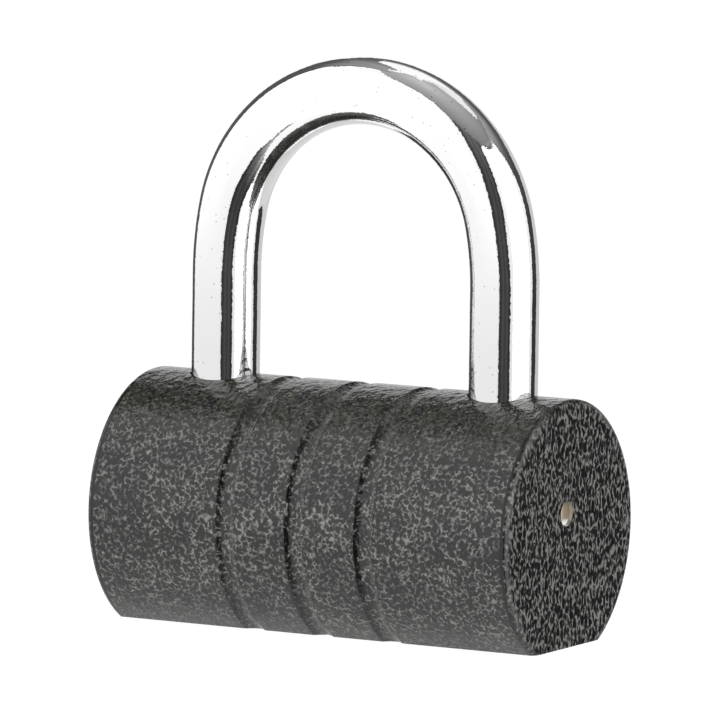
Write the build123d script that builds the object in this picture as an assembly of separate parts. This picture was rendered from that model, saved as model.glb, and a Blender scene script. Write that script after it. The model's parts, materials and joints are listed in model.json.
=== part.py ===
from build123d import *

import os
from math import cos, dist, floor, hypot, pi, radians, sin, sqrt

# Barrel padlock: a painted steel barrel with a flat underneath, a plated round bow, and a pin
# tumbler cylinder that is pushed in from the flat and throws two latches into the bow's legs.
# Millimetres. Z = 0 is the flat, +Z is up the bow, +X runs along the barrel to its pinned end,
# and -Y is the front. The lock is shut, with its latches drawn and its pins at the shear line.

# Barrel
barrel_d = 50.0
barrel_length = 89.5
edge_round = 1.1
groove_count = 3
groove_pitch = 14.7
groove_width = 4.2
groove_depth = 0.7
flat_margin = 1.1

# Bow, a round bar with its middle a little towards the pinned end
bar_d = 13.0
leg_spacing = 59.5
bow_offset = 0.4
bow_clear = 48.5
side_radius = 62.0
side_turn = 11.6
leg_play = 0.2
end_chamfer = 0.8
notch_depth = 2.5
toe_land = 3.2
toe_gap = 1.0
toe_clear = 0.2
collar_height = 3.0
heel_gap = 1.3

# Cross pins, both in one drilling from the pinned end
pin_d = 4.6
pin_front = 1.5
pin_rise = 3.9
pin_recess = 0.3
pin_gap = 0.35
stop_gap = 0.3
dowel_depth = 3.0

# Latches, which slide along X
latch_cover = 8.3
latch_d = 6.0
latch_head_d = 7.8
latch_head = 2.5
latch_guide = 6.0
latch_play = 0.1
nose_chamfer = 0.7
nose_recess = 0.15
nose_gap = 0.25
notch_play = 0.3

# Cam on the plug's tail
cam_base = 6.0
cam_thick = 6.0
cam_gap = 0.1
chamber_clear = 0.5
chamber_step = 0.6
roof_gap = 0.4
tail_width = 6.0
tail_play = 0.05
tail_short = 0.3

# Cylinder
shell_d = 24.0
shell_recess = 0.4
clip_room = 4.1
plug_d = 12.0
plug_head_d = 14.0
plug_head = 1.4
plug_neck_d = 9.0
running_play = 0.05
clip_d = 16.0
clip_thick = 0.9
clip_groove_d = 9.6
clip_land = 0.8

# Keyway, a slot with a ward groove on each side
keyway_width = 1.6
keyway_inner = 5.0
keyway_outer = 2.6
ward_depth = 0.9
ward_height = 1.9
ward_inner = 2.6
ward_outer = 0.5
keyway_past = 3.0

# Pin stacks, five across the shear line, with the key pins cut for one key
key_pin_lengths = (4.4, 5.2, 4.0, 5.6, 4.8)
stack_d = 2.8
stack_play = 0.1
stack_wall = 1.1
stack_floor = 0.6
key_pin_low = 0.2
key_pin_point = 0.8
driver_length = 3.3
stack_chamfer = 0.25
stopper_thick = 1.2
stopper_recess = 0.3

# Springs: wire, outside diameter and pitch at rest
wire_sides = 6
bow_spring = (0.7, 4.6, 2.0)
bow_spring_bore = 5.2
bow_spring_reach = 17.5
latch_spring_wire = 0.7
latch_spring_play = 0.1
latch_spring_pitch = 1.6
pin_spring = (0.35, 2.5, 0.95)

fit_gap = 0.02
past = 1.0

# Heights and places worked out from the sizes above
barrel_r = barrel_d / 2
axis_z = sqrt(barrel_r**2 - (shell_d / 2 + flat_margin) ** 2)
barrel_top = axis_z + barrel_r
bar_r = bar_d / 2
core_r = bar_r - notch_depth
leg_hole_r = bar_r + leg_play
heel_x = bow_offset + leg_spacing / 2
toe_x = bow_offset - leg_spacing / 2

latch_z = barrel_top - latch_cover
latch_bore_d = latch_d + 2 * latch_play
latch_head_bore_d = latch_head_d + 4 * latch_play
latch_seat = cam_base + cam_gap
notch_height = latch_d + 2 * notch_play
throw = notch_depth + leg_play + nose_recess - nose_gap
cam_rate = throw / (pi / 2)

toe_end = latch_z - notch_height / 2 - toe_land
lift = barrel_top + toe_clear - toe_end
pin_y = -pin_front
pin_z = axis_z + pin_rise
pin_hole_d = pin_d + 2 * fit_gap
neck_top = pin_z + pin_d / 2 + stop_gap
collar_top = pin_z - pin_d / 2 - stop_gap - lift
heel_end = collar_top - collar_height
heel_floor = heel_end - heel_gap
spring_roof = heel_end + bow_spring_reach

cam_nose_r = cam_base - cam_rate
cam_reach = hypot(cam_rate, throw + cam_rate) + cam_nose_r
chamber_r = cam_reach + chamber_clear
chamber_top = latch_z + latch_head_d / 2 + roof_gap
cam_low = latch_z - cam_thick / 2
shell_top = latch_z - latch_head_d / 2 - clip_room
shell_bore_r = shell_d / 2 + running_play
shell_x = shell_bore_r - chamber_r - chamber_step
shell_face = shell_x + shell_d / 2
plug_r = plug_d / 2
plug_front = shell_recess
plug_seat = plug_front + plug_head

stack_hole_d = stack_d + 2 * stack_play
stack_low = plug_seat + running_play + stack_wall + stack_hole_d / 2
stack_high = pin_z - pin_hole_d / 2 - stack_wall - stack_hole_d / 2
stack_step = (stack_high - stack_low) / (len(key_pin_lengths) - 1)
stack_heights = [stack_low + i * stack_step for i in range(len(key_pin_lengths))]
driver_inner = plug_r + running_play
driver_outer = driver_inner + driver_length
stopper_outer = shell_face - stopper_recess
stopper_inner = stopper_outer - stopper_thick


def rod_z(d, x, y, low, high):
    """Upright round rod from low to high."""
    rod = Cylinder(d / 2, high - low, align=(Align.CENTER, Align.CENTER, Align.MIN))
    return Pos(x, y, low) * rod


def rod_x(d, y, z, start, end):
    """Round rod along X from start to end."""
    rod = Cylinder(d / 2, end - start, align=(Align.CENTER, Align.CENTER, Align.MIN))
    return Pos(start, y, z) * Rot(0, 90, 0) * rod


def block(low, high):
    """Box between two corners."""
    size = [b - a for a, b in zip(low, high)]
    middle = [(a + b) / 2 for a, b in zip(low, high)]
    return Pos(*middle) * Box(*size)


def half_turn(start, start_way, end, end_way):
    """Two tangent arcs from one point and direction to another."""
    chord = end - start
    ways = start_way + end_way
    bend = 2 * (1 - start_way.dot(end_way))
    along = chord.dot(ways)
    reach = (sqrt(along**2 + bend * chord.dot(chord)) - along) / bend
    first = start + start_way * reach
    last = end - end_way * reach
    middle = (first + last) * 0.5
    return [
        Edge.make_tangent_arc(start, start_way, middle),
        Edge.make_tangent_arc(middle, last - first, end),
    ]


def least_gap(path, wire_d, radius):
    """Smallest clear space between one turn of a coil and the next."""
    steps = floor(4 * path.length / wire_d)
    points = [tuple(path.position_at(i / steps)) for i in range(steps + 1)]
    apart = floor(pi * radius * steps / path.length)
    pairs = ((i, j) for i in range(steps + 1) for j in range(i + apart, steps + 1))
    return min(dist(points[i], points[j]) for i, j in pairs) - wire_d


def coil(name, wire_d, outer_d, pitch, length):
    """Open wound spring standing on Z = 0, as long as the space that holds it."""
    radius = (outer_d - wire_d) / 2
    rise = length - wire_d
    turns = max(2, floor(rise / pitch + 0.5))
    step = rise / (2 * turns)
    lead = step / pi

    def place(i):
        return Vector(radius * cos(pi * i), 0, wire_d / 2 + step * i)

    def way(i):
        return Vector(0, radius * cos(pi * i), lead).normalized()

    arcs = []
    for i in range(2 * turns):
        arcs += half_turn(place(i), way(i), place(i + 1), way(i + 1))
    path = Wire(arcs)
    print(name, "turns", turns, "least gap", round(least_gap(path, wire_d, radius), 2))
    section = RegularPolygon(wire_d / 2, wire_sides, rotation=90)
    return sweep(Plane(origin=place(0), x_dir=(1, 0, 0), z_dir=way(0)) * section, path)


def make_barrel():
    """Turned bar with rounded ends and three shallow grooves, planed flat underneath and drilled."""
    end = barrel_length / 2
    outline = [Line((-end, 0), (-end, barrel_r - edge_round))]
    corner = (-end + edge_round, barrel_r)
    outline.append(RadiusArc((-end, barrel_r - edge_round), corner, edge_round))
    for i in range(groove_count):
        middle = (i - (groove_count - 1) / 2) * groove_pitch
        left = (middle - groove_width / 2, barrel_r)
        right = (middle + groove_width / 2, barrel_r)
        outline.append(Line(corner, left))
        outline.append(ThreePointArc(left, (middle, barrel_r - groove_depth), right))
        corner = right
    outline.append(Line(corner, (end - edge_round, barrel_r)))
    outline.append(RadiusArc((end - edge_round, barrel_r), (end, barrel_r - edge_round), edge_round))
    outline.append(Line((end, barrel_r - edge_round), (end, 0)))
    outline.append(Line((end, 0), (-end, 0)))
    turned = revolve(Plane.XZ * make_face(outline), Axis.X)
    barrel = Pos(0, 0, axis_z) * Rot(180, 0, 0) * turned
    barrel -= block((-barrel_length, -barrel_d, -barrel_d), (barrel_length, barrel_d, 0))

    barrel -= rod_z(2 * leg_hole_r, heel_x, 0, heel_floor, barrel_top + past)
    barrel -= rod_z(2 * leg_hole_r, toe_x, 0, toe_end - toe_gap, barrel_top + past)
    barrel -= rod_z(2 * shell_bore_r, shell_x, 0, -past, shell_top)
    barrel -= rod_z(2 * chamber_r, 0, 0, shell_top - past, chamber_top)
    barrel -= rod_x(latch_bore_d, 0, latch_z, toe_x, heel_x)
    step_out = leg_hole_r + latch_guide
    barrel -= rod_x(latch_head_bore_d, 0, latch_z, toe_x + step_out, heel_x - step_out)
    barrel -= rod_x(pin_hole_d, pin_y, pin_z, shell_x, end + past)
    return barrel


def make_bow():
    """Bar bent through side arcs and a crown arc, then notched, necked and drilled."""
    turn = radians(side_turn)
    crown_r = (leg_spacing / 2 - side_radius * (1 - cos(turn))) / cos(turn)
    crown_z = barrel_top + bow_clear + bar_r - crown_r
    side_z = crown_z - (side_radius - crown_r) * sin(turn)
    with BuildLine(Plane.XZ) as route:
        heel = Line((heel_x, heel_end), (heel_x, side_z))
        rise = JernArc(heel @ 1, heel % 1, side_radius, side_turn)
        crown = JernArc(rise @ 1, rise % 1, crown_r, 180 - 2 * side_turn)
        fall = JernArc(crown @ 1, crown % 1, side_radius, side_turn)
        Line(fall @ 1, (toe_x, toe_end))
    path = route.wire()
    bow = sweep(Plane(origin=path @ 0, z_dir=path % 0) * Circle(bar_r), path)
    ends = bow.faces().filter_by(Axis.Z).edges()
    bow = chamfer(ends, end_chamfer)

    neck = rod_z(bar_d + 2 * past, heel_x, 0, collar_top, neck_top)
    bow -= neck - rod_z(2 * core_r, heel_x, 0, collar_top - past, neck_top + past)
    low, high = latch_z - notch_height / 2, latch_z + notch_height / 2
    bow -= block((heel_x - bar_d, -bar_d, low), (heel_x - core_r, bar_d, high))
    bow -= block((toe_x + core_r, -bar_d, low), (toe_x + bar_d, bar_d, high))
    bow -= rod_z(bow_spring_bore, heel_x, 0, heel_end - past, spring_roof)
    return bow


def make_cross_pin(start, end):
    """Hardened pin with both ends chamfered, driven into the long drilling."""
    pin = rod_x(pin_d, pin_y, pin_z, start, end)
    return chamfer(pin.edges().filter_by(GeomType.CIRCLE), stop_gap)


def make_latch(hole_x):
    """Headed latch for one leg, resting on the cam with its nose just inside its guide."""
    tip = abs(hole_x) - leg_hole_r - nose_recess
    latch = rod_x(latch_head_d, 0, latch_z, latch_seat, latch_seat + latch_head)
    latch += rod_x(latch_d, 0, latch_z, latch_seat, tip)
    latch = chamfer(latch.faces().sort_by(Axis.X)[-1].edges(), nose_chamfer)
    return latch if hole_x > 0 else Rot(0, 0, 180) * latch


def make_latch_spring(name, hole_x):
    """Return spring on a latch's shank, from its head to the step in the bore."""
    start = latch_seat + latch_head
    length = abs(hole_x) - leg_hole_r - latch_guide - start
    outer_d = latch_d + 2 * (latch_spring_play + latch_spring_wire)
    spring = coil(name, latch_spring_wire, outer_d, latch_spring_pitch, length)
    spring = Pos(start, 0, latch_z) * Rot(0, 90, 0) * spring
    return spring if hole_x > 0 else Rot(0, 0, 180) * spring


def make_cam():
    """Two lobed cam whose involute flanks push both flat ended latches out by an even rate."""

    def flank(angle):
        turn = radians(angle)
        out = cam_base - cam_rate * turn
        x = out * cos(turn) + cam_rate * sin(turn)
        y = out * sin(turn) - cam_rate * cos(turn)
        return (x, y)

    lobe = [ThreePointArc(flank(a), flank(a - 15), flank(a - 30)) for a in (0, -30, -60)]
    shoulder = (-cam_base, -throw - cam_rate)
    lobe.append(TangentArc(flank(-90), shoulder, tangent=(-1, 0)))
    lobe.append(Line(shoulder, (-cam_base, cam_rate)))
    outline = lobe + [Rot(0, 0, 180) * edge for edge in lobe]
    cam = Pos(0, 0, cam_low) * extrude(make_face(outline), cam_thick)
    hole = tail_width / 2 + tail_play
    return cam - block((-hole, -hole, cam_low - past), (hole, hole, cam_low + cam_thick + past))


def make_shell():
    """Brass cylinder with the plug's bore off centre and one row of pin chambers."""
    shell = rod_z(shell_d, shell_x, 0, shell_recess, shell_top)
    shell -= rod_z(plug_d + 2 * running_play, 0, 0, -past, shell_top + past)
    shell -= rod_z(plug_head_d + 2 * running_play, 0, 0, -past, plug_seat + running_play)
    for z in stack_heights:
        shell -= rod_x(stack_hole_d, 0, z, 0, shell_face + past)
    return shell - rod_x(pin_hole_d, pin_y, pin_z, shell_face - dowel_depth, shell_face + past)


def make_plug():
    """Brass plug with a headed front, warded keyway, pin chambers, clip groove and square tail."""
    groove_low = shell_top + running_play
    groove_high = groove_low + clip_thick + running_play
    plug = rod_z(plug_head_d, 0, 0, plug_front, plug_seat)
    plug += rod_z(plug_d, 0, 0, plug_front, groove_high + clip_land)
    plug += rod_z(plug_neck_d, 0, 0, plug_front, cam_low)
    half = tail_width / 2
    plug += block((-half, -half, plug_front), (half, half, cam_low + cam_thick - tail_short))
    ring = rod_z(plug_d + past, 0, 0, groove_low, groove_high)
    plug -= ring - rod_z(clip_groove_d, 0, 0, groove_low - past, groove_high + past)

    side = keyway_width / 2
    ward = side + ward_depth
    top = stack_heights[-1] + keyway_past
    plug -= block((-keyway_inner, -side, -past), (keyway_outer, side, top))
    inner, outer = -keyway_inner + ward_outer, -keyway_inner + ward_outer + ward_height
    plug -= block((inner, 0, -past), (outer, ward, top))
    inner, outer = inner + ward_inner, outer + ward_inner
    plug -= block((inner, -ward, -past), (outer, 0, top))
    for z in stack_heights:
        plug -= rod_x(stack_hole_d, 0, z, -stack_floor, plug_head_d)
    return plug


def make_clip():
    """Open spring clip that keeps the plug from sliding out of the shell."""
    low = shell_top + running_play
    clip = rod_z(clip_d, 0, 0, low, low + clip_thick)
    inner_d = clip_groove_d + 2 * running_play
    clip -= rod_z(inner_d, 0, 0, low - past, low + clip_thick + past)
    half = inner_d / 2 - clip_thick
    return clip - block((0, -half, low - past), (clip_d, half, low + clip_thick + past))


def make_key_pin(length, z):
    """Pointed pin in the plug, its flat end just below the shear line."""
    end = plug_r - key_pin_low
    pin = rod_x(stack_d, 0, z, end - length, end)
    pin = chamfer(pin.faces().sort_by(Axis.X)[-1].edges(), stack_chamfer)
    return chamfer(pin.faces().sort_by(Axis.X)[0].edges(), key_pin_point)


def make_driver_pin(z):
    """Flat pin in the shell, sprung against the key pin."""
    pin = rod_x(stack_d, 0, z, driver_inner, driver_outer)
    return chamfer(pin.edges().filter_by(GeomType.CIRCLE), stack_chamfer)


def make_pin_spring(name, z):
    """Spring between a driver pin and its chamber's stopper."""
    spring = coil(name, *pin_spring, stopper_inner - driver_outer)
    return Pos(driver_outer, 0, z) * Rot(0, 90, 0) * spring


def make_stoppers():
    """Five pressed discs that close the pin chambers."""
    d = stack_hole_d - 2 * fit_gap
    return Compound(children=[rod_x(d, 0, z, stopper_inner, stopper_outer) for z in stack_heights])


parts = {
    "barrel": make_barrel(),
    "shackle": make_bow(),
    "shackle_retaining_pin": make_cross_pin(heel_x + core_r + pin_gap, barrel_length / 2 - pin_recess),
    "shackle_spring": Pos(heel_x, 0, heel_floor)
    * coil("shackle_spring", *bow_spring, spring_roof - heel_floor),
    "toe_latch": make_latch(toe_x),
    "heel_latch": make_latch(heel_x),
    "toe_latch_spring": make_latch_spring("toe_latch_spring", toe_x),
    "heel_latch_spring": make_latch_spring("heel_latch_spring", heel_x),
    "cam": make_cam(),
    "cylinder_shell": make_shell(),
    "cylinder_dowel": make_cross_pin(shell_face - dowel_depth, heel_x - leg_hole_r - pin_gap),
    "plug": make_plug(),
    "plug_clip": make_clip(),
    "chamber_stoppers": make_stoppers(),
}
for number, (length, z) in enumerate(zip(key_pin_lengths, stack_heights), 1):
    parts[f"key_pin_{number}"] = make_key_pin(length, z)
    parts[f"driver_pin_{number}"] = make_driver_pin(z)
    parts[f"pin_spring_{number}"] = make_pin_spring(f"pin_spring_{number}", z)

print("throw", round(throw, 3), "mm, lift", round(lift, 3), "mm, latch height", round(latch_z, 3))
os.makedirs("parts", exist_ok=True)
for name, shape in parts.items():
    export_step(shape, f"parts/{name}.step")
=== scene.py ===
import json
import math

import bmesh
import bpy
from mathutils import Matrix, Vector

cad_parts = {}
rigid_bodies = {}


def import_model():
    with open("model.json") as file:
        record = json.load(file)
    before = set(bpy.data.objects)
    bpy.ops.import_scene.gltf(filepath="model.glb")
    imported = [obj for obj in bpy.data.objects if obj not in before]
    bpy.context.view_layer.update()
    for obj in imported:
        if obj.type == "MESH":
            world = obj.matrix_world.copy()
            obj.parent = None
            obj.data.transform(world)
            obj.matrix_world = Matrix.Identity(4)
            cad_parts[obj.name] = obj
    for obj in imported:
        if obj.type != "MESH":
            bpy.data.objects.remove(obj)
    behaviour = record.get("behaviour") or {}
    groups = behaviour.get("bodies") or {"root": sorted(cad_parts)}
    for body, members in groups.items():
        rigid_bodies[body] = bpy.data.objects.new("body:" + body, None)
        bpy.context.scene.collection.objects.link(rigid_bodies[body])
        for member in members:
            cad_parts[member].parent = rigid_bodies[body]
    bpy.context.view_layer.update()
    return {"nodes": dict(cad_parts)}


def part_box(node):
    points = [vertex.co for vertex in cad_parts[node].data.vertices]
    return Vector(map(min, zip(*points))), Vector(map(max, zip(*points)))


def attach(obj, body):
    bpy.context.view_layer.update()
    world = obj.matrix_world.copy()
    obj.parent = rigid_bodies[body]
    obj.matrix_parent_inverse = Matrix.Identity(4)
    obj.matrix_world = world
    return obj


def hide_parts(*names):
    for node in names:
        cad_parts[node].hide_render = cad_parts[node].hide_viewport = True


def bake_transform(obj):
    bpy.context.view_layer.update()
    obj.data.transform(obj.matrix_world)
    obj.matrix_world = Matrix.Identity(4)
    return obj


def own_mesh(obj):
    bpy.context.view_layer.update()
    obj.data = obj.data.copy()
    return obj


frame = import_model()


# Camera, where the photograph was taken from.
# A long lens stands nearly two metres off, a little above the barrel and towards its pinned end,
# and leans by less than a degree.
view_turn = math.radians(29.15)
view_rise = math.radians(6.80)
view_lean = math.radians(0.79)
view_distance = 1.814
aim_above_axis = 0.0290
aim_to_left = 0.0001
frame_height_mm = 36.0
lens_mm = 483.0
far_limit = 20.0

stage = bpy.context.scene.collection.objects
barrel_low, barrel_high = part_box("barrel")
barrel_r = (barrel_high.y - barrel_low.y) / 2
axis_z = barrel_high.z - barrel_r

back = Vector((
    math.sin(view_turn) * math.cos(view_rise),
    -math.cos(view_turn) * math.cos(view_rise),
    math.sin(view_rise),
))
level = Vector((math.cos(view_turn), math.sin(view_turn), 0))
lean = Matrix.Rotation(view_lean, 3, back)
right = lean @ level
upward = lean @ back.cross(level)
aim = Vector((0, 0, axis_z)) + aim_above_axis * upward - aim_to_left * right
camera = bpy.data.objects.new("camera", bpy.data.cameras.new("camera"))
camera.data.sensor_fit = "VERTICAL"
camera.data.sensor_height = frame_height_mm
camera.data.lens = lens_mm
camera.data.clip_end = far_limit
turned = Matrix((right, upward, back)).transposed().to_4x4()
camera.matrix_world = Matrix.Translation(aim + view_distance * back) @ turned
stage.link(camera)
bpy.context.scene.camera = camera


# Barrel: a turned steel bar with three shallow grooves, planed flat underneath and drilled.
# It is sprayed with hammer paint, which dries to glossy black beads in a broken net of pale grey
# veins. The bores for the bow, the cylinder and the pin are cut afterwards and stay bare.
soft_detail, fine_detail, finest_detail = 1.0, 3.0, 4.0


def add(tree, kind, inputs, out=None, **settings):
    """A new shader node, set up and linked; returns the output that is named, or its first."""
    node = tree.nodes.new("ShaderNode" + kind)
    for key, value in settings.items():
        setattr(node, key, value)
    for key, value in inputs.items():
        socket = node.inputs[key]
        if isinstance(key, str):
            socket = next(s for s in node.inputs if s.name == key and s.enabled)
        if isinstance(value, bpy.types.NodeSocket):
            tree.links.new(value, socket)
        else:
            socket.default_value = value
    return node.outputs[out] if out else next(s for s in node.outputs if s.enabled)


def calc(tree, operation, first, second=0.0):
    """A sum, product or comparison of two values."""
    return add(tree, "Math", {0: first, 1: second}, operation=operation)


def product(tree, first, *others):
    """Values multiplied together."""
    for other in others:
        first = calc(tree, "MULTIPLY", first, other)
    return first


def larger(tree, first, second):
    """The larger of two values."""
    return calc(tree, "MAXIMUM", first, second)


def rest(tree, value):
    """What a value leaves of 1."""
    return calc(tree, "SUBTRACT", 1.0, value)


def near(tree, value, middle, half_width):
    """1 where a value is close to a middle and 0 elsewhere."""
    return add(tree, "Math", {0: value, 1: middle, 2: half_width}, operation="COMPARE")


def wander(tree, value, unevenness, reach):
    """A value moved by an unevenness from 0 to 1 times a reach."""
    return add(tree, "Math", {0: unevenness, 1: reach, 2: value}, operation="MULTIPLY_ADD")


def step(tree, value, start, end):
    """Smooth change from 0 where the value is at start to 1 where it is at end."""
    limits = {"Value": value, "From Min": start, "From Max": end}
    return add(tree, "MapRange", limits, interpolation_type="SMOOTHSTEP")


def spread(tree, value, low, high):
    """A value from 0 to 1 spread over another range."""
    return add(tree, "MapRange", {"Value": value, "To Min": low, "To Max": high})


def mixed(tree, factor, first, second, kind="RGBA"):
    """Colour or number between two others."""
    return add(tree, "Mix", {"Factor": factor, "A": first, "B": second}, data_type=kind)


def coordinate(tree, place, axis):
    """One coordinate of a place or direction."""
    return add(tree, "SeparateXYZ", {0: place}, axis)


def stretch(tree, place, factors):
    """A place with each coordinate multiplied by a factor of its own."""
    return add(tree, "VectorMath", {0: place, 1: factors}, operation="MULTIPLY")


def gap(tree, place, point):
    """Distance of a place from a point."""
    return add(tree, "VectorMath", {0: place, 1: point}, operation="DISTANCE")


def noise(tree, place, size, detail=2.0, out=None):
    """Soft noise whose blotches have about the given size in metres."""
    return add(tree, "TexNoise", {"Vector": place, "Scale": 1 / size, "Detail": detail}, out)


def patches(tree, place, size, start, end, detail=2.0):
    """Patches of a size: 0 where the noise is at start and 1 where it is at end."""
    return step(tree, noise(tree, place, size, detail), start, end)


def net(tree, place, bead, half_width):
    """Veins between beads of a size, 1 in their middle and 0 at their half width."""
    edges = {"Vector": place, "Scale": 1 / bead}
    edges = add(tree, "TexVoronoi", edges, feature="DISTANCE_TO_EDGE")
    return step(tree, edges, half_width / bead, 0.0)


def raised(tree, height, distance, under=None, strength=1.0, invert=False):
    """Normals of a surface that a height raises or sinks, over any relief under it."""
    inputs = {"Height": height, "Distance": distance, "Strength": strength}
    if under is not None:
        inputs["Normal"] = under
    return add(tree, "Bump", inputs, invert=invert)


def new_finish(name, sockets):
    """A material with its node tree, its shader's inputs and the place on the part."""
    finish = bpy.data.materials.new(name)
    finish.use_nodes = True
    tree = finish.node_tree
    shader = tree.nodes["Principled BSDF"].inputs
    for key, value in sockets.items():
        shader[key].default_value = value
    return finish, tree, shader, add(tree, "TexCoord", {}, "Object")


def connect(tree, shader, outputs):
    """Links outputs to the shader's inputs of the given names."""
    for key, output in outputs.items():
        tree.links.new(output, shader[key])


def dress(node, finish):
    """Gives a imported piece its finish."""
    slots = frame["nodes"][node].data.materials
    slots.clear()
    slots.append(finish)


# Drillings that stay bare: the bores of the two legs, the cylinder's pocket and the pin's hole
bow_play, shell_play = 0.0002, 0.00005
bore_edge, pin_hole_edge = 0.00003, 0.00004
bore_floor = 0.001
bore_steel = (0.30, 0.29, 0.28, 1)
hole_pale = (0.44, 0.43, 0.40, 1)
bore_rough = 0.35
paint_ior = 1.5

bow_low, bow_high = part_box("shackle")
bar_r = (bow_high.y - bow_low.y) / 2
heel_x = bow_high.x - bar_r
toe_x = bow_low.x + bar_r
shell_low, shell_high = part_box("cylinder_shell")
shell_middle = (shell_low + shell_high) / 2
shell_r = (shell_high.y - shell_low.y) / 2
retainer_low, retainer_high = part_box("shackle_retaining_pin")
retainer_r = (retainer_high.z - retainer_low.z) / 2
retainer_mid = (retainer_low + retainer_high) / 2

paint, tree, shader, place = new_finish("hammer_paint", {"IOR": paint_ior})
along = coordinate(tree, place, "X")
height = coordinate(tree, place, "Z")
flat = stretch(tree, place, (1, 1, 0))
across = stretch(tree, place, (0, 1, 1))
leg_gap = calc(tree, "MINIMUM", *[gap(tree, flat, (x, 0, 0)) for x in (heel_x, toe_x)])
leg_bore = calc(tree, "LESS_THAN", leg_gap, bar_r + bow_play + bore_edge)
leg_bore = product(tree, leg_bore, calc(tree, "GREATER_THAN", height, bore_floor))
shell_gap = gap(tree, flat, (shell_middle.x, shell_middle.y, 0))
pocket = calc(tree, "LESS_THAN", shell_gap, shell_r + shell_play + bore_edge)
pocket = product(tree, pocket, calc(tree, "LESS_THAN", height, shell_high.z))
pin_gap = gap(tree, across, (0, retainer_mid.y, retainer_mid.z))
pin_hole = calc(tree, "LESS_THAN", pin_gap, retainer_r + pin_hole_edge)
pin_hole = product(tree, pin_hole, calc(tree, "GREATER_THAN", along, shell_middle.x))
bare = larger(tree, larger(tree, leg_bore, pocket), pin_hole)
bare_tint = mixed(tree, pin_hole, bore_steel, hole_pale)

# Where the paint lies: on the two ends, along the crest or round the side
end_slope = 0.55, 0.85
crest_slope = 0.55, 0.88

facing = add(tree, "TexCoord", {}, "Normal")
on_end = step(tree, calc(tree, "ABSOLUTE", coordinate(tree, facing, "X")), *end_slope)
on_crest = step(tree, coordinate(tree, facing, "Z"), *crest_slope)

# Veins round the side: bent, broken into short branches, fainter in patches, brightened in specks as
# painted glints, and made fainter on the crest as painted shade
bead_size = 0.00108
vein_half_width = 0.00025
swirl_size = 1.8 * bead_size
noise_middle = (0.5, 0.5, 0.5)
vein_bend = 0.001
vein_branches = 0.0009, 0.40, 0.64
faint_patches = 0.007, 0.35, 0.6
faint_range = 0.6, 1.0
glint_patches = 0.0004, 0.35, 0.65
glint_range = 0.55, 1.35
# Painted shade: how much of the veins is left along the crest, which light from above barely reaches
crest_shade_vein_share = 0.42

swirl = noise(tree, place, swirl_size, soft_detail, "Color")
swirl = add(tree, "VectorMath", {0: swirl, 1: noise_middle}, operation="SUBTRACT")
bent = add(tree, "VectorMath", {0: swirl, 1: (vein_bend,) * 3, 2: place}, operation="MULTIPLY_ADD")
# Painted glints: specks where the veins are brighter, standing for light caught on their raised edges
vein_glints = spread(tree, patches(tree, place, *glint_patches), *glint_range)
side_vein = product(
    tree,
    net(tree, bent, bead_size, vein_half_width),
    patches(tree, place, *vein_branches),
    spread(tree, patches(tree, place, *faint_patches), *faint_range),
    vein_glints,
    spread(tree, on_crest, 1.0, crest_shade_vein_share),
)

# Grooves: a ragged black line of painted shade along one side of each, and a line of painted highlight
# along the other
groove_pitch, groove_count = 0.0147, 3
shade_ragged, shade_wander = 0.0005, 0.0045
shade_line_middle, shade_line_half = 0.0004, 0.0005
shade_line_runs = 0.0016, 0.43, 0.50
highlight_middle, highlight_half = 0.00365, 0.0004
highlight_runs = 0.0016, 0.48, 0.60
highlight_range = 0.3, 0.7

ragged = noise(tree, place, shade_ragged)
from_middle = calc(tree, "ABSOLUTE", along)
grooved = calc(tree, "LESS_THAN", from_middle, groove_count / 2 * groove_pitch)
in_groove = {0: along, 1: groove_pitch / 2, 2: -groove_pitch / 2}
in_groove = wander(tree, add(tree, "Math", in_groove, operation="WRAP"), ragged, shade_wander)
# Painted shade: a ragged black line along one side of each groove, where its wall looks dark
painted_shade_lines = product(
    tree,
    near(tree, in_groove, shade_line_middle, shade_line_half),
    grooved,
    rest(tree, on_crest),
    patches(tree, place, *shade_line_runs),
)
# Painted highlight: a lighter line along the other side of each groove
groove_highlight = product(
    tree,
    near(tree, in_groove, highlight_middle, highlight_half),
    grooved,
    spread(tree, on_crest, *highlight_range),
    patches(tree, place, *highlight_runs),
    vein_glints,
)

# Painted reflection: a dark line where the side rounds over into an end
rim_shade_inset, rim_shade_half = 0.0013, 0.0003

to_end = calc(tree, "SUBTRACT", barrel_high.x, from_middle)
rim_shade = near(tree, wander(tree, to_end, ragged, rim_shade_half), rim_shade_inset, rim_shade_half)
painted_shade_lines = larger(tree, painted_shade_lines, rim_shade)
side_vein = product(tree, larger(tree, side_vein, groove_highlight), rest(tree, painted_shade_lines))

# Ends: upright veins with more breaks, and a broken lighter rim
end_bead = 0.00115
end_half_width = 0.00025
end_stretch = (1.0, 1.0, 0.6)
end_branches = 0.0008, 0.40, 0.62
end_range = 0.05, 1.1
rim_reach, rim_fade = 0.0021, 0.0007
rim_patches = 0.0025, 0.3, 0.6
rim_range = 0.0, 0.5

end_place = stretch(tree, bent, end_stretch)
end_speck = patches(tree, end_place, *end_branches)
end_vein = net(tree, end_place, end_bead, end_half_width)
end_vein = product(tree, end_vein, spread(tree, end_speck, *end_range))
from_axis = gap(tree, across, (0, 0, axis_z))
rim = product(
    tree,
    step(tree, from_axis, barrel_r - rim_reach, barrel_r - rim_reach + rim_fade),
    patches(tree, place, *rim_patches),
    spread(tree, end_speck, *rim_range),
)
vein = mixed(tree, on_end, side_vein, larger(tree, end_vein, rim), "FLOAT")
vein = product(tree, vein, rest(tree, bare))

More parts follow.
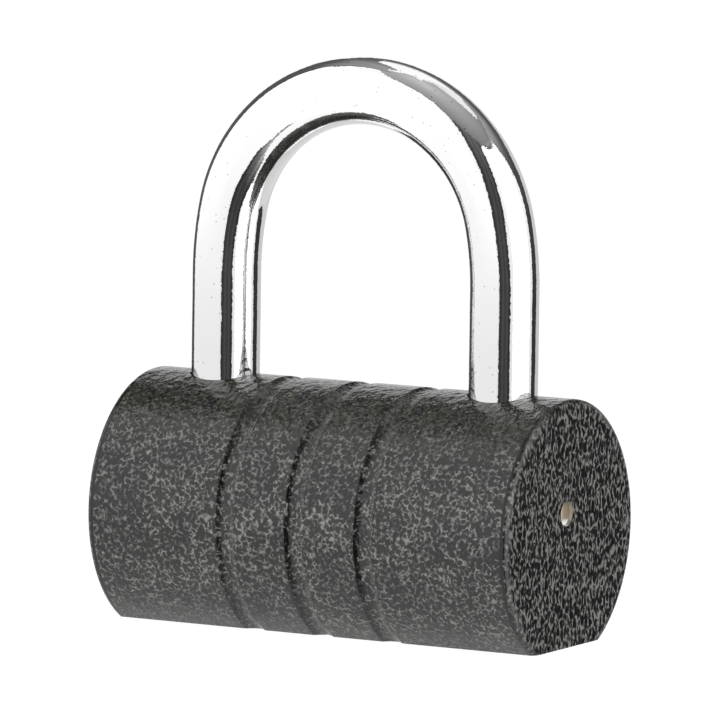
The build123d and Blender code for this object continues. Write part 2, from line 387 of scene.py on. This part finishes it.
# Colours: black beads, olive in patches, under the grey veins. Along the crest, painted shade turns the
# beads olive with black blotches, and the ends' beads and the painted shade lines are black
bead_black = (0.012, 0.012, 0.0115, 1)
bead_olive = (0.020, 0.020, 0.015, 1)
crest_shade_olive = (0.032, 0.033, 0.017, 1)
shade_and_end_black = (0.004, 0.004, 0.004, 1)
vein_grey = (0.25, 0.25, 0.24, 1)
end_grey = (0.185, 0.185, 0.175, 1)
olive_patches = 0.007, 0.5, 0.62
crest_shade_patches = 0.0011, 0.38, 0.62
crest_stretch = (1.0, 0.35, 1.0)
bead_rough, vein_rough = 0.13, 0.42

# Painted shade along the crest: its beads turn olive, with black blotches
olive_and_crest_shade = larger(tree, on_crest, patches(tree, place, *olive_patches, soft_detail))
bead = mixed(tree, olive_and_crest_shade, bead_black, bead_olive)
shade_blotch = patches(tree, stretch(tree, place, crest_stretch), *crest_shade_patches, fine_detail)
bead = mixed(tree, on_crest, bead, mixed(tree, shade_blotch, shade_and_end_black, crest_shade_olive))
bead = mixed(tree, larger(tree, painted_shade_lines, on_end), bead, shade_and_end_black)
coat = mixed(tree, vein, bead, mixed(tree, on_end, vein_grey, end_grey))
coat_rough = spread(tree, vein, bead_rough, vein_rough)

# Relief: fine peel round the side, lumps along the crest, and veins sunk between the beads
peel_size, peel_relief = 0.0009, 0.00014
crest_peel_share = 0.25
lump_size, lump_relief = 0.0016, 0.0005
lump_stretch = (1.0, 0.7, 1.0)
vein_relief, vein_strength = 0.00007, 0.8
end_relief_share = 0.4

crest_peel = spread(tree, on_crest, 1.0, crest_peel_share)
peel = product(tree, noise(tree, place, peel_size, fine_detail), rest(tree, on_end), crest_peel)
normal = raised(tree, peel, peel_relief)
lump = product(tree, noise(tree, stretch(tree, place, lump_stretch), lump_size), on_crest)
normal = raised(tree, lump, lump_relief, normal)
sunk = product(tree, vein, spread(tree, on_end, 1.0, end_relief_share))
normal = raised(tree, sunk, vein_relief, normal, vein_strength, invert=True)
connect(tree, shader, {
    "Base Color": mixed(tree, bare, coat, bare_tint),
    "Roughness": mixed(tree, bare, coat_rough, bore_rough, "FLOAT"),
    "Metallic": bare,
    "Normal": normal,
})
dress("barrel", paint)


# Cylinder shell and plug: turned from brass bar and left bare, with fine rings on their faces.
# The shell is pushed in from the flat, and the plug turns in it about its own axis.
brass_light = (0.74, 0.57, 0.29, 1)
brass_dark = (0.58, 0.43, 0.20, 1)
brass_rough = 0.2, 0.4
brass_patch = 0.004
ring_pitch = 0.00016
ring_wobble = 0.6
ring_relief, ring_strength = 0.000004, 0.7
waves_per_unit = 20 / (2 * math.pi)


def bare_metal(name, dark, light, rough, patch, detail=finest_detail, gloss_patch=None):
    """Bare metal whose tone and gloss vary in patches; returns what new_finish does."""
    finish, tree, shader, place = new_finish(name, {"Metallic": 1.0})
    tone = noise(tree, place, patch, detail)
    gloss = noise(tree, place, gloss_patch) if gloss_patch else tone
    connect(tree, shader, {
        "Base Color": mixed(tree, tone, dark, light),
        "Roughness": spread(tree, gloss, *rough),
    })
    return finish, tree, shader, place


def turned_brass(name, middle):
    """Bare brass with turning rings about an upright axis."""
    finish, tree, shader, place = bare_metal(name, brass_dark, brass_light, brass_rough, brass_patch)
    centred = add(tree, "VectorMath", {0: place, 1: (middle.x, middle.y, 0)}, operation="SUBTRACT")
    rings = {"Vector": centred, "Scale": 1 / (waves_per_unit * ring_pitch), "Distortion": ring_wobble}
    mark = add(tree, "TexWave", rings, "Fac", wave_type="RINGS", rings_direction="Z")
    connect(tree, shader, {"Normal": raised(tree, mark, ring_relief, strength=ring_strength)})
    return finish


dress("cylinder_shell", turned_brass("shell_brass", shell_middle))
dress("plug", turned_brass("plug_brass", Vector((0, 0, 0))))


# Key pins, driver pins and chamber stoppers: short pieces parted off from brass rod.
# The pins slide in the chambers across the shear line, and the stoppers are pressed in behind them.
rod_light = (0.78, 0.64, 0.38, 1)
rod_dark = (0.60, 0.47, 0.25, 1)
rod_rough = 0.18, 0.36
rod_patch = 0.0008
pin_numbers = range(1, 6)

rod, *_ = bare_metal("pin_brass", rod_dark, rod_light, rod_rough, rod_patch, fine_detail)
dress("chamber_stoppers", rod)
for number in pin_numbers:
    dress(f"key_pin_{number}", rod)
    dress(f"driver_pin_{number}", rod)


# Springs and plug clip: drawn spring wire and strip, dark from hardening; the clip keeps the plug in.
# The springs are wound open and stay as built here. In the lock, the bow's spring stretches with its
# lift, those on the latches' shanks are pressed together as the latches come out, and those behind the
# driver pins keep still.
wire_light = (0.46, 0.47, 0.49, 1)
wire_dark = (0.26, 0.27, 0.30, 1)
wire_rough = 0.24, 0.4
wire_patch = 0.001
wire_sides = 12
turn_steps = 40
lengthwise_x, lengthwise_z = 0, 2
bow_wire, latch_wire, driver_wire = 0.0007, 0.0007, 0.00035
bow_turns, latch_turns, driver_turns = 9, 5, 3
sharp_edge = math.radians(30)
weld_gap = 1e-7


def loft(name, rings, places=None):
    """A closed mesh through rings of points, with smooth sides and crisp steps."""
    form = bmesh.new()
    layer = form.verts.layers.float_vector.new("bar_place")
    rows = [[form.verts.new(point) for point in ring] for ring in rings]
    for row, row_places in zip(rows, places or rings):
        for corner, bar_place in zip(row, row_places):
            corner[layer] = bar_place
    for low, high in zip(rows, rows[1:]):
        for i in range(len(low)):
            form.faces.new((low[i - 1], low[i], high[i], high[i - 1]))
    bmesh.ops.remove_doubles(form, verts=form.verts, dist=weld_gap)
    bmesh.ops.recalc_face_normals(form, faces=form.faces)
    mesh = bpy.data.meshes.new(name)
    form.to_mesh(mesh)
    form.free()
    mesh.shade_smooth()
    mesh.set_sharp_from_angle(angle=sharp_edge)
    piece = bpy.data.objects.new(name, mesh)
    stage.link(piece)
    return piece


def wind(node, axis, turns, wire_d):
    """Round wire wound into the space of a packed spring, along X or Z."""
    low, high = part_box(node)
    middle = (low + high) / 2
    length = high[axis] - low[axis] - wire_d
    mean_r = (high.y - low.y - wire_d) / 2
    lead = length / (2 * math.pi * turns)
    along = Vector((1, 0, 0)) if axis == lengthwise_x else Vector((0, 0, 1))
    aside = Vector((0, 1, 0))
    across = along.cross(aside)
    spokes = [2 * math.pi * side / wire_sides for side in range(wire_sides)]
    last = turns * turn_steps
    sections = [(0, 0)] + [(i, wire_d / 2) for i in range(last + 1)] + [(last, 0)]
    coil_rings = []
    for i, radius in sections:
        angle = 2 * math.pi * i / turn_steps
        outward = math.cos(angle) * aside + math.sin(angle) * across
        forward = -math.sin(angle) * aside + math.cos(angle) * across
        forward = (mean_r * forward + lead * along).normalized()
        upright = forward.cross(outward)
        centre = middle + mean_r * outward + (lead * angle - length / 2) * along
        coil_rings.append([
            centre + radius * (math.cos(spoke) * outward + math.sin(spoke) * upright) for spoke in spokes
        ])
    spring = loft(f"{node}_wire", coil_rings)
    spring.data.materials.append(wire)
    return spring


wire, *_ = bare_metal("spring_wire", wire_dark, wire_light, wire_rough, wire_patch)
dress("plug_clip", wire)

spring = wind("shackle_spring", lengthwise_z, bow_turns, bow_wire)
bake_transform(spring)
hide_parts("shackle_spring")

for latch, outward in [("toe_latch", -1), ("heel_latch", 1)]:
    node = f"{latch}_spring"
    spring = wind(node, lengthwise_x, latch_turns, latch_wire)
    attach(spring, "barrel")
    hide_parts(node)
    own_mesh(spring)

for number in pin_numbers:
    spring = wind(f"pin_spring_{number}", lengthwise_x, driver_turns, driver_wire)
    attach(spring, "barrel")
    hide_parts(f"pin_spring_{number}")


# Cam, latches and dowel: hardened steel, ground all over.
# The cam sits on the plug's square tail and pushes the latches into the bow's notches. The dowel is
# driven in from the barrel's end and holds the cylinder shell.
steel_light = (0.56, 0.56, 0.57, 1)
steel_dark = (0.38, 0.38, 0.39, 1)
steel_rough = 0.24, 0.44
steel_patch = 0.003
grind_mark = 0.0002

ground_steel, *_ = bare_metal(
    "ground_steel", steel_dark, steel_light, steel_rough, steel_patch, gloss_patch=grind_mark
)
for node in ["cam", "toe_latch", "heel_latch", "cylinder_dowel"]:
    dress(node, ground_steel)


# Bow: a round steel bar bent hot, then polished along its length and chromed.
# Its heel stays in the barrel, held by the pin in its neck and pushed up by a spring in its end.
# Its toe is notched like the heel for a latch, and lifts clear of the barrel.
side_radius = 0.062
side_turn = math.radians(11.6)
notch_half = 0.0033
toe_land = 0.0032
core_r = 0.004
collar_height = 0.003
neck_clear = 0.0003
spring_bore_r = 0.0026
spring_bore_depth = 0.0175
end_chamfer = 0.0008
bar_sides = 96
arc_step = math.radians(1.5)

latch_low, latch_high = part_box("toe_latch")
latch_z = (latch_low.z + latch_high.z) / 2
middle_x = (heel_x + toe_x) / 2
half_spacing = (heel_x - toe_x) / 2
crown_r = (half_spacing - side_radius * (1 - math.cos(side_turn))) / math.cos(side_turn)
crown_z = bow_high.z - bar_r - crown_r
side_z = crown_z - (side_radius - crown_r) * math.sin(side_turn)
heel_end = bow_low.z
collar_top = heel_end + collar_height
neck_top = retainer_high.z + neck_clear
bore_top = heel_end + spring_bore_depth
notch_low, notch_high = latch_z - notch_half, latch_z + notch_half
toe_end = notch_low - toe_land

heel_steps = [
    (bore_top, 0, False), (bore_top, spring_bore_r, False), (heel_end, spring_bore_r, False),
    (heel_end, bar_r - end_chamfer, False), (heel_end + end_chamfer, bar_r, False),
    (collar_top, bar_r, False), (collar_top, core_r, False),
    (neck_top, core_r, False), (neck_top, bar_r, False),
]
notch_steps = [
    (notch_low, bar_r, False), (notch_low, bar_r, True),
    (notch_high, bar_r, True), (notch_high, bar_r, False),
]
toe_steps = [
    (toe_end + end_chamfer, bar_r, False), (toe_end, bar_r - end_chamfer, False), (toe_end, 0, False),
]
bends = [
    (heel_x - side_radius, side_z, side_radius, 0, side_turn),
    (middle_x, crown_z, crown_r, side_turn, math.pi - side_turn),
    (toe_x + side_radius, side_z, side_radius, math.pi - side_turn, math.pi),
]
stations = [(heel_x, z, 0, r, notched) for z, r, notched in heel_steps + notch_steps]
for centre_x, centre_z, radius, start, end in bends:
    count = math.ceil((end - start) / arc_step)
    for i in range(count + 1):
        turn = start + (end - start) * i / count
        x = centre_x + radius * math.cos(turn)
        z = centre_z + radius * math.sin(turn)
        stations.append((x, z, turn, bar_r, False))
stations += [(toe_x, z, math.pi, r, notched) for z, r, notched in notch_steps[::-1] + toe_steps]

rings = []
straight_rings = []
bar_length = 0.0
for i, (x, z, turn, radius, notched) in enumerate(stations):
    if i:
        bar_length += math.dist((x, z), stations[i - 1][:2])
    ring = []
    straight_ring = []
    for side in range(bar_sides):
        angle = 2 * math.pi * side / bar_sides
        outward, aside = radius * math.cos(angle), radius * math.sin(angle)
        if notched:
            outward = max(outward, -core_r)
        ring.append((x + outward * math.cos(turn), aside, z + outward * math.sin(turn)))
        straight_ring.append((outward, aside, bar_length))
    rings.append(ring)
    straight_rings.append(straight_ring)
bow = loft("bow", rings, straight_rings)
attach(bow, "shackle")
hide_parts("shackle")

# Chrome: bright at the top, with painted shade that makes it duller near the barrel, and with ripples,
# fine grain, streaks and pits
chrome_tint = (0.97, 0.97, 0.97, 1)
foot_shade_tint = (0.745, 0.745, 0.745, 1)
foot_shade_height = 0.055
pit_tint = (0.35, 0.35, 0.35, 1)
pit_spacing, pit_size, pit_share = 0.0015, 0.085, 0.8
polish_rough = 0.03
ripple_size, ripple_height = 0.0045, 0.00003
grain_size, grain_height = 0.0006, 0.000011
streak_size, streak_height = 0.00035, 0.000004
streak_stretch = (1, 1, 0.04)

chrome, tree, shader, upright = new_finish("chrome_plate", {"Metallic": 1.0, "Roughness": polish_rough})
place = add(tree, "Attribute", {}, "Vector", attribute_name="bar_place")
normal = raised(tree, noise(tree, place, ripple_size, soft_detail), ripple_height)
normal = raised(tree, noise(tree, place, grain_size, soft_detail), grain_height, normal)
streak = noise(tree, stretch(tree, place, streak_stretch), streak_size)
normal = raised(tree, streak, streak_height, normal)
pits = {"Vector": place, "Scale": 1 / pit_spacing}
pit = calc(tree, "LESS_THAN", add(tree, "TexVoronoi", pits, "Distance"), pit_size)
pit_draw = coordinate(tree, add(tree, "TexVoronoi", pits, "Color"), "X")
pit = product(tree, pit, calc(tree, "GREATER_THAN", pit_draw, 1 - pit_share))
# Painted shade: the chrome's colour is greyer up to a height above the barrel, standing for darker
# reflections at the legs' feet
above_foot_shade = step(tree, coordinate(tree, upright, "Z"), barrel_high.z, barrel_high.z + foot_shade_height)
chrome_and_foot_shade = mixed(tree, above_foot_shade, foot_shade_tint, chrome_tint)
connect(tree, shader, {"Base Color": mixed(tree, pit, chrome_and_foot_shade, pit_tint), "Normal": normal})
bow.data.materials.append(chrome)


# Retaining pin: a hard pin driven in along the barrel from its end, under the bow's collar.
# Its outer end is left bare, a little below the paint, and is rounded over. It is stained brown
# above its middle, and its lower edge carries a painted highlight, pale and not metallic.
pin_dull = (0.56, 0.51, 0.42, 1)
pin_highlight_pale = (0.98, 0.97, 0.94, 1)
pin_core = (0.64, 0.49, 0.33, 1)
pin_rough = 0.4
pin_sides = 48
dome_rise, dome_power = 0.00042, 3
dome_rings = 12
inner_chamfer = 0.0003
stain_patch = 0.0007
stain_rise = 0.3 * retainer_r
stain_reach = 2 * retainer_r
stain_fade = 0.1 * retainer_r, 0.8 * retainer_r
highlight_ragged = -retainer_r
highlight_edge = retainer_mid.z - 0.8 * retainer_r, retainer_mid.z - 1.2 * retainer_r

profile = [
    (retainer_low.x, 0),
    (retainer_low.x, retainer_r - inner_chamfer),
    (retainer_low.x + inner_chamfer, retainer_r),
]
for i in range(dome_rings, -1, -1):
    share = i / dome_rings
    profile.append((retainer_high.x - dome_rise * share**dome_power, retainer_r * share))
rings = []
for x, radius in profile:
    turns = [2 * math.pi * side / pin_sides for side in range(pin_sides)]
    ring = [
        (x, retainer_mid.y + radius * math.cos(turn), retainer_mid.z + radius * math.sin(turn))
        for turn in turns
    ]
    rings.append(ring)
pin = loft("retaining_pin", rings)
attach(pin, "barrel")
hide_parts("shackle_retaining_pin")

pin_finish, tree, shader, place = new_finish("pin_end", {"Roughness": pin_rough})
across = stretch(tree, place, (0, 1, 1))
from_stain = gap(tree, across, (0, retainer_mid.y, retainer_mid.z + stain_rise))
ragged = noise(tree, place, stain_patch, fine_detail)
stain = calc(tree, "SUBTRACT", product(tree, ragged, stain_reach), from_stain)
stain = step(tree, stain, *stain_fade)
# Painted highlight: the pin's lower edge is pale and not metallic
below = step(tree, wander(tree, coordinate(tree, place, "Z"), ragged, highlight_ragged), *highlight_edge)
pin_tint = mixed(tree, stain, pin_dull, pin_core)
connect(tree, shader, {
    "Base Color": mixed(tree, below, pin_tint, pin_highlight_pale),
    "Metallic": rest(tree, below),
})
pin.data.materials.append(pin_finish)


# Floor: a plain white sheet under the part.
# To the eye it is nearly white by itself, so that it runs into the background, and it still takes
# the part's shadow. It is clear from below.
floor_half = 4.0
floor_drop = 0.00005
floor_white = (0.9, 0.9, 0.9, 1)
floor_own_share = 0.75
floor_own_white = 1.29

floor_mesh = bpy.data.meshes.new("floor")
floor_corners = [(-1, -1), (1, -1), (1, 1), (-1, 1)]
floor_mesh.from_pydata(
    [(x * floor_half, y * floor_half, -floor_drop) for x, y in floor_corners], [], [(0, 1, 2, 3)]
)
floor = bpy.data.objects.new("floor", floor_mesh)
floor.visible_glossy = False
stage.link(floor)


def seen(tree):
    """1 for rays from the camera, or mirrored or passed on to it, and 0 for light."""
    mirrored, passed_on, direct = (
        add(tree, "LightPath", {}, f"Is {ray} Ray") for ray in ["Glossy", "Transmission", "Camera"]
    )
    return larger(tree, larger(tree, mirrored, passed_on), direct)


sheet = bpy.data.materials.new("floor_sheet")
sheet.use_nodes = True
tree = sheet.node_tree
matt = add(tree, "BsdfDiffuse", {"Color": floor_white})
glow = add(tree, "Emission", {"Strength": floor_own_white})
top = add(tree, "MixShader", {0: product(tree, seen(tree), floor_own_share), 1: matt, 2: glow})
below = add(tree, "NewGeometry", {}, "Backfacing")
both = add(tree, "MixShader", {0: below, 1: top, 2: add(tree, "BsdfTransparent", {})})
tree.links.new(both, tree.nodes["Material Output"].inputs["Surface"])
floor_mesh.materials.append(sheet)


# Light: a white studio with a long soft lamp on either side, low down.
# Grey and black flags hang in its gaps, behind the camera, beside the backdrop and overhead, and
# draw the edges of the chrome; two boxes beside it glow brighter than white. All of them glow with their
# own grey and only mirrored rays meet them: they are painted reflections.
studio_white = (1, 1, 1, 1)
fill_level, seen_level = 0.2, 1.0
lamp_distance = 2.5
lamp_size = (2.0, 0.4)

world = bpy.data.worlds.new("studio")
world.use_nodes = True
bpy.context.scene.world = world
tree = world.node_tree
sky = tree.nodes["Background"].inputs
sky["Color"].default_value = studio_white
connect(tree, sky, {"Strength": spread(tree, seen(tree), fill_level, seen_level)})


def direction(turn, rise):
    """Unit vector at a turn from the front towards the pinned end and a rise, in degrees."""
    turn, rise = math.radians(turn), math.radians(rise)
    flat = math.cos(rise)
    return Vector((math.sin(turn) * flat, -math.cos(turn) * flat, math.sin(rise)))


# Lamps by turn and rise, in degrees, and power
for name, turn, rise, power in [("left_lamp", -25, 4, 54.0), ("right_lamp", 95, 4, 50.0)]:
    lamp = bpy.data.lights.new(name, "AREA")
    lamp.shape = "RECTANGLE"
    lamp.size, lamp.size_y = lamp_size
    lamp.energy = power
    holder = bpy.data.objects.new(name, lamp)
    away = direction(turn, rise)
    holder.location = aim + lamp_distance * away
    holder.rotation_euler = away.to_track_quat("Z", "Y").to_euler()
    holder.visible_glossy = False
    stage.link(holder)

# Flags by layer from the front and fall of the grey to their edges; each row has its rise, the turns
# where it starts and ends, in degrees, and its grey
flag_distance = 3.0
flag_layer = 0.01
flag_column = 2
edge_power = 4
drape_turn = 9
flags = [
    ("camera_gap", 0, 0.7, [
        (-54, -10, 50, 0.55), (-44, -6, 62, 0.16), (-33, 13, 56, 0.06), (-20, 14, 52, 0.06),
        (-7, 12, 49, 0.085), (4, 10, 46, 0.08), (22, 16, 48, 0.075), (47, 17, 53, 0.15),
    ]),
    ("left_gap", 0, 0.3, [
        (-36, -126, -108, 0.08), (-24, -131, -104, 0.04), (0, -131, -104, 0.11),
        (24, -131, -101, 0.09), (42, -150, -102, 0.1), (54, -140, -92, 0.25), (75, -130, -60, 0.36),
    ]),
    ("right_gap", 0, 0.2, [
        (-24, 126, 142, 0.05), (-14, 131, 156, 0.04), (10, 134, 159, 0.06), (24, 135, 170, 0.07),
        (33, 130, 175, 0.12), (38, 126, 178, 0.22), (44, 116, 175, 0.32), (46, 84, 170, 0.34),
        (50, 78, 165, 0.36),
    ]),
    ("ceiling", 2, 0.0, [
        (45, 17, 92, 0.14), (49, 12, 150, 0.22), (54, 2, 164, 0.26), (62, -30, 174, 0.32),
        (70, -75, 174, 0.38), (78, -160, 190, 0.44), (84, -180, 180, 0.52), (90, -180, 180, 0.55),
    ]),
    ("ceiling_back", 1, 0.0, [
        (50, 150, 174, 0.8), (54, 136, 178, 0.86), (60, 136, 180, 0.86), (70, 150, 186, 0.74),
    ]),
    ("backdrop_top", 0, 0.0, [
        (20, 159, 196, 0.1), (30, 160, 210, 0.08), (38, 165, 228, 0.13), (44, 165, 225, 0.3),
        (48, 165, 222, 0.8),
    ]),
    ("backdrop", 2, 0.0, [
        (-24, 140, 200, 0.75), (-14, 153, 200, 0.68), (10, 156, 200, 0.62), (20, 159, 200, 0.62),
    ]),
    ("back_floor", 4, 0.0, [(-60, 110, 230, 0.62), (-24, 126, 232, 0.75)]),
    ("left_box", 6, 0.0, [
        (-60, -100, 8, 1.04), (-12, -100, 8, 1.04), (5, -100, 8, 1.2), (60, -100, 8, 1.2),
    ]),
    ("right_box", 6, 0.0, [(-40, 58, 120, 1.9), (50, 58, 120, 1.9)]),
]

# The flags' grey is their own glow, a painted reflection that no lamp gives
flag_glow = bpy.data.materials.new("glowing_flags")
flag_glow.use_nodes = True
tree = flag_glow.node_tree
shade = add(tree, "Attribute", {}, "Fac", attribute_name="shade")
flag_glow_shader = add(tree, "Emission", {"Strength": shade})
tree.links.new(flag_glow_shader, tree.nodes["Material Output"].inputs["Surface"])


def hang(name, rows):
    """A card through rows of points with their greys, which only mirrored rays meet."""
    columns = len(rows[0]) - 1
    mesh = bpy.data.meshes.new(name)
    corners = [i * (columns + 1) + k for i in range(len(rows) - 1) for k in range(columns)]
    faces = [(i, i + 1, i + columns + 2, i + columns + 1) for i in corners]
    mesh.from_pydata([point for row in rows for point, _ in row], [], faces)
    greys = [grey for row in rows for _, grey in row]
    mesh.attributes.new("shade", "FLOAT", "POINT").data.foreach_set("value", greys)
    mesh.materials.append(flag_glow)
    card = bpy.data.objects.new(name, mesh)
    card.visible_camera = False
    card.visible_diffuse = False
    card.visible_shadow = False
    card.visible_transmission = False
    stage.link(card)


for name, layer, edge_fall, rows in flags:
    distance = flag_distance * (1 + layer * flag_layer)
    columns = max(math.ceil((end - start) / flag_column) for _, start, end, _ in rows)
    shares = [k / columns for k in range(columns + 1)]
    card_rows = []
    for rise, start, end, grey in rows:
        row = []
        for share in shares:
            point = aim + distance * direction(start + (end - start) * share, rise)
            edge = 1 - edge_fall * (2 * share - 1) ** edge_power
            drape = 1 - edge_fall * math.sin(drape_turn * share) ** 2 / 2
            row.append((point, grey * edge * drape))
        card_rows.append(row)
    hang(name, card_rows)


# Close: plain colour management.
bpy.context.scene.view_settings.view_transform = "Standard"
